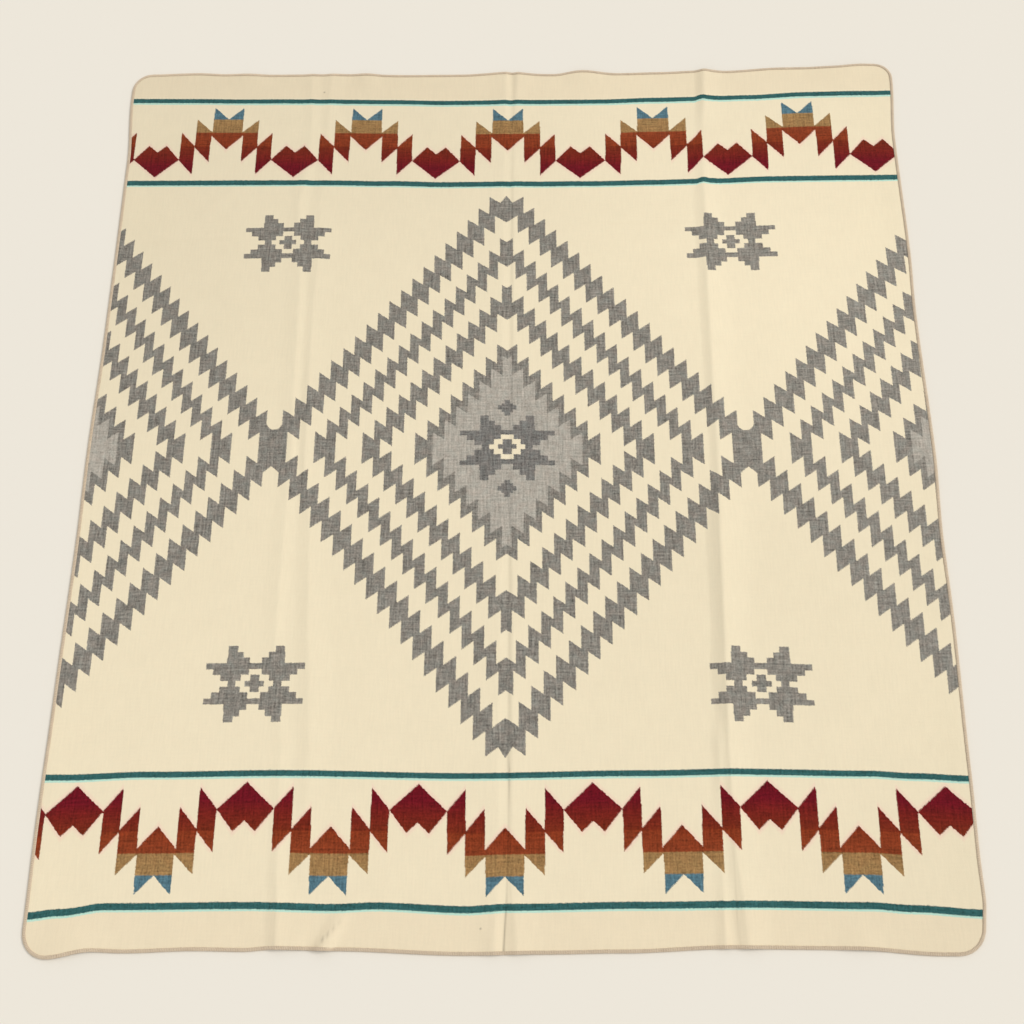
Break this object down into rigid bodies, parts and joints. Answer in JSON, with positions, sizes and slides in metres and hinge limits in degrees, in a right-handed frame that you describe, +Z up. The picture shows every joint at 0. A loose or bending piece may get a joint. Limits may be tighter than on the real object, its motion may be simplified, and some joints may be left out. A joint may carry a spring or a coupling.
{
  "type": "woven alpaca blanket",
  "caption": "Flat rectangular woven blanket with rounded corners, old fold creases and an overlocked yarn edging all round.",
  "frame": {"origin": "middle of the underside, under the centre of the outline's bounding box", "axes": "+X across the blanket's width, +Y along its length towards its far end, +Z up out of the face that shows"},
  "size_m": [1.9188, 2.1208, 0.0134],
  "materials": {
    "alpaca_weave": "brushed, soft and matt",
    "edging_yarn": "matt overlocked yarn"
  },
  "bodies": {
    "root": {"cloth": "alpaca_weave", "edging": "edging_yarn"}
  },
  "joints": []
}
